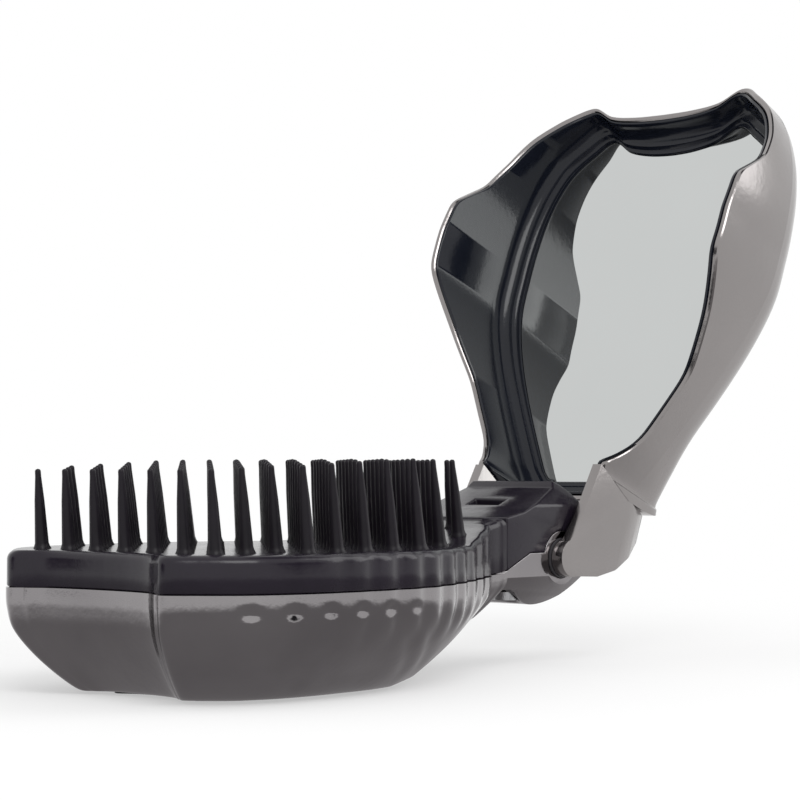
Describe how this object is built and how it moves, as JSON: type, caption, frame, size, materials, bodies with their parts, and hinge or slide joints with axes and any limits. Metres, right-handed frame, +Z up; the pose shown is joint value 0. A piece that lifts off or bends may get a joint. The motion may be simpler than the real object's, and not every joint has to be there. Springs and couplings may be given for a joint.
{
  "type": "folding hairbrush with mirror",
  "caption": "Pocket hairbrush whose chrome lid with an inner mirror turns about a hinge at one end and closes over the bristles.",
  "frame": {"origin": "the middle of the flat pad under the base, midway between the two posts that carry the bristle plate", "axes": "+X from the bristles towards and past the hinge, +Y across the brush along the hinge axis, +Z up, away from the ground"},
  "size_m": [0.1515, 0.0664, 0.1051],
  "materials": {
    "base_shell": "polished, smoked",
    "hinge_tongue": "polished, smoked",
    "base_pad": "matt",
    "bristle_plate": "gloss",
    "bristles_free_end": "gloss",
    "bristles_middle": "gloss",
    "bristles_hinge_end": "gloss",
    "hinge_dome": "gloss",
    "dome_screws": "zinc plated",
    "friction_washers": "matt",
    "hinge_pin": "ground",
    "lid_arm_near": "polished, smoked",
    "lid_arm_far": "polished, smoked",
    "lid_shell": "polished, smoked",
    "lid_liner": "gloss",
    "mirror_pad": "matt",
    "mirror_glass": "silvered"
  },
  "bodies": {
    "base": {"base_shell": "base_shell", "hinge_tongue": "hinge_tongue", "base_pad": "base_pad", "bristle_plate": "bristle_plate", "bristles_free_end": "bristles_free_end", "bristles_middle": "bristles_middle", "bristles_hinge_end": "bristles_hinge_end", "hinge_dome": "hinge_dome", "dome_screws": "dome_screws", "friction_washers": "friction_washers"},
    "lid": {"lid_shell": "lid_shell", "lid_liner": "lid_liner", "lid_arm_near": "lid_arm_near", "lid_arm_far": "lid_arm_far", "mirror_pad": "mirror_pad", "mirror_glass": "mirror_glass", "hinge_pin": "hinge_pin"}
  },
  "joints": [
    {"name": "lid_hinge", "type": "hinge", "parent": "base", "child": "lid", "pos_m": [0.068, 0, 0.0184], "axis": [0, 1, 0], "range_deg": [-112.45, 12]}
  ]
}
